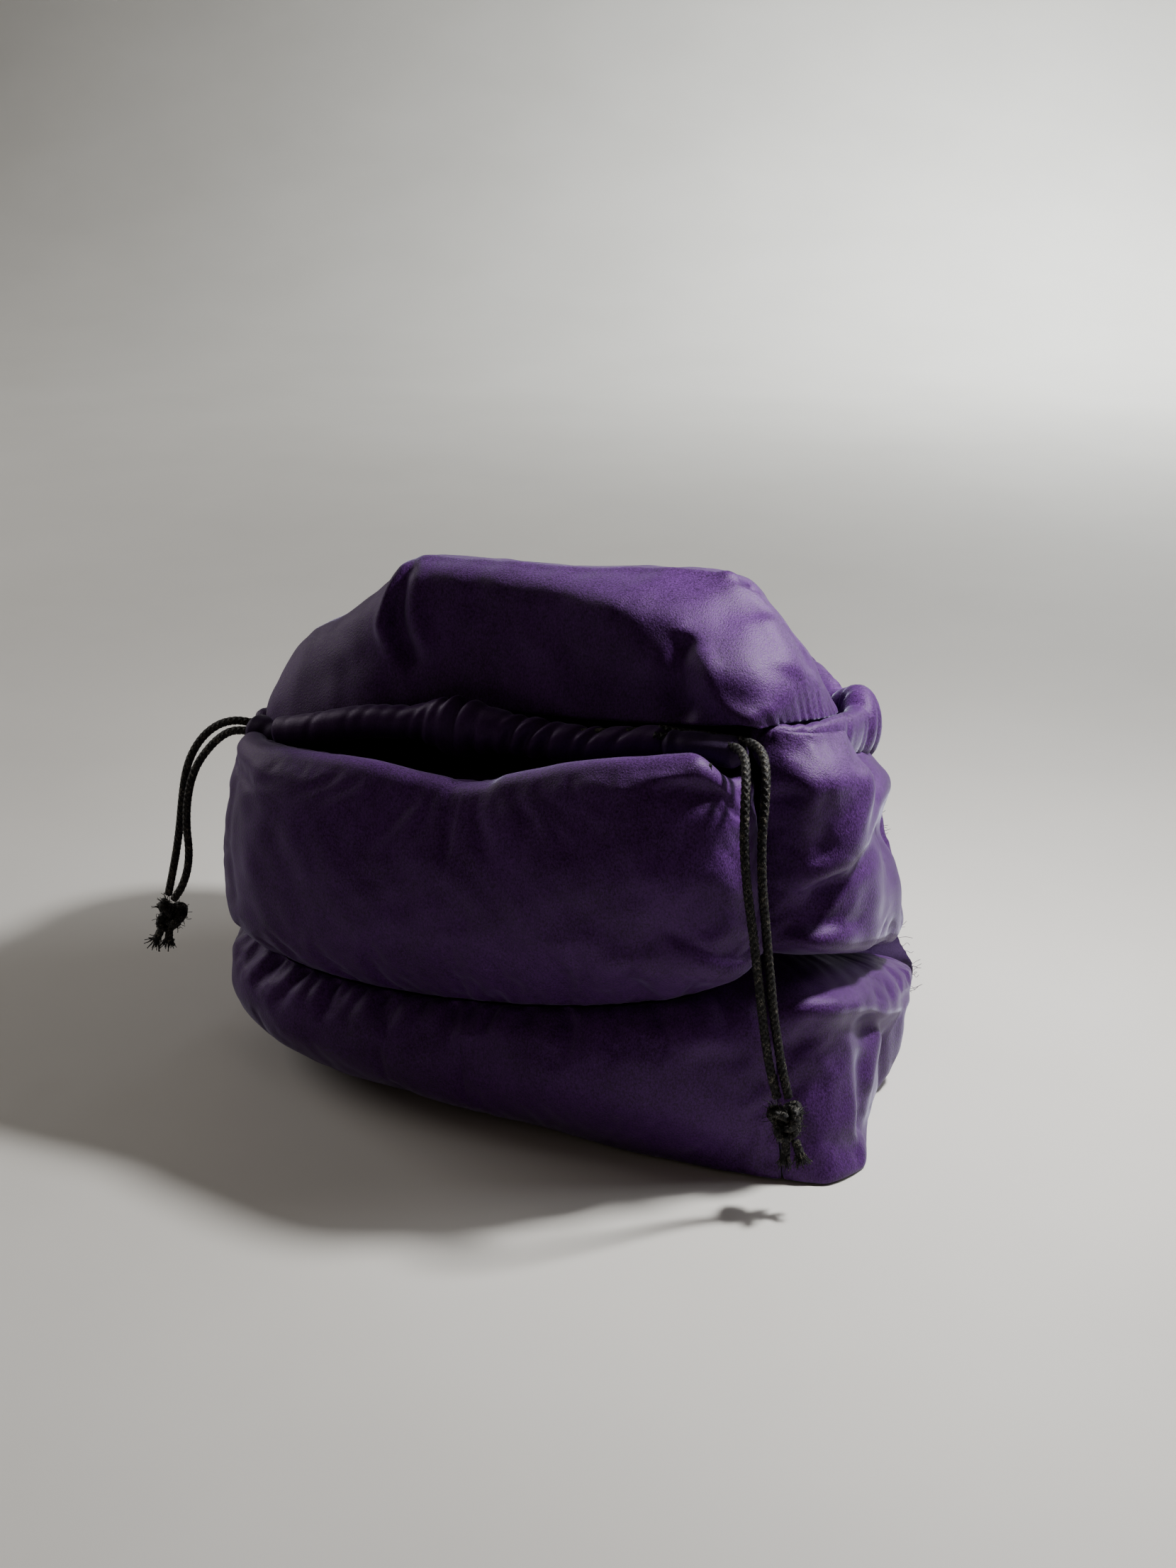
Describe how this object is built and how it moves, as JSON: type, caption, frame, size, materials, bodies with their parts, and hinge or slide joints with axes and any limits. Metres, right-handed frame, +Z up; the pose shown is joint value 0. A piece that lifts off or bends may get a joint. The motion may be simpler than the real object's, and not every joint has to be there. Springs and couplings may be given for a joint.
{
  "type": "drawstring dice bag",
  "caption": "Soft lined satin pouch with puffed walls in tiers, a slack mouth, inner pockets and a drawstring leaving each mouth corner.",
  "frame": {"origin": "on the standing surface, under the middle of the bag without its free cords", "axes": "+X along the mouth to the bag's right as its front is looked at, +Z up; the front panel faces -Y"},
  "size_m": [0.203, 0.123, 0.1413],
  "materials": {
    "satin": "purple polyester satin, soft sheen, fine warp-faced weave",
    "satin_shade": "wrong side and raw edges of the purple satin, duller and frayed",
    "lining": "purple satin lining, slightly duller than the outside",
    "elastic": "gathered hem with narrow woven elastic inside",
    "stiffener": "plain pressed board inside the base",
    "braid": "black round braided polyester cord with a low sheen"
  },
  "bodies": {
    "sack": {"base_panel": "satin_shade", "base_stiffener": "stiffener", "lining_floor": "lining", "lower_front_panel": "satin", "lower_right_panel": "satin", "lower_back_panel": "satin", "lower_left_panel": "satin", "upper_front_panel": "satin", "upper_right_panel": "satin", "upper_back_panel": "satin", "upper_left_panel": "satin", "seam_edge_right": "satin_shade", "seam_edge_left": "satin_shade", "lining_wall": "lining", "front_pocket_panel": "lining", "front_pocket_elastic_hem": "elastic", "back_pocket_panel": "lining", "back_pocket_elastic_hem": "elastic", "front_casing": "satin", "rim_band": "satin", "left_cord_front_run": "braid", "right_cord_front_run": "braid", "left_corner_sleeve": "satin_shade", "right_corner_sleeve": "satin_shade"},
    "hood": {"hood_panel": "satin", "back_casing": "lining", "left_cord_back_run": "braid", "right_cord_back_run": "braid"},
    "left_drawstring": {"left_strand_a": "braid", "left_strand_b": "braid", "left_knot": "braid", "left_frayed_ends": "braid"},
    "right_drawstring": {"right_strand_a": "braid", "right_strand_b": "braid", "right_knot": "braid", "right_frayed_ends": "braid"}
  },
  "joints": [
    {"name": "mouth_open", "type": "hinge", "parent": "sack", "child": "hood", "pos_m": [0, 0.051, 0.096], "axis": [-1, 0, 0], "range_deg": [0, 24]},
    {"name": "left_cord_pull", "type": "slide", "parent": "sack", "child": "left_drawstring", "axis": [-1, 0, 0], "range_m": [0, 0.022]},
    {"name": "right_cord_pull", "type": "slide", "parent": "sack", "child": "right_drawstring", "axis": [1, 0, 0], "range_m": [0, 0.022]}
  ]
}
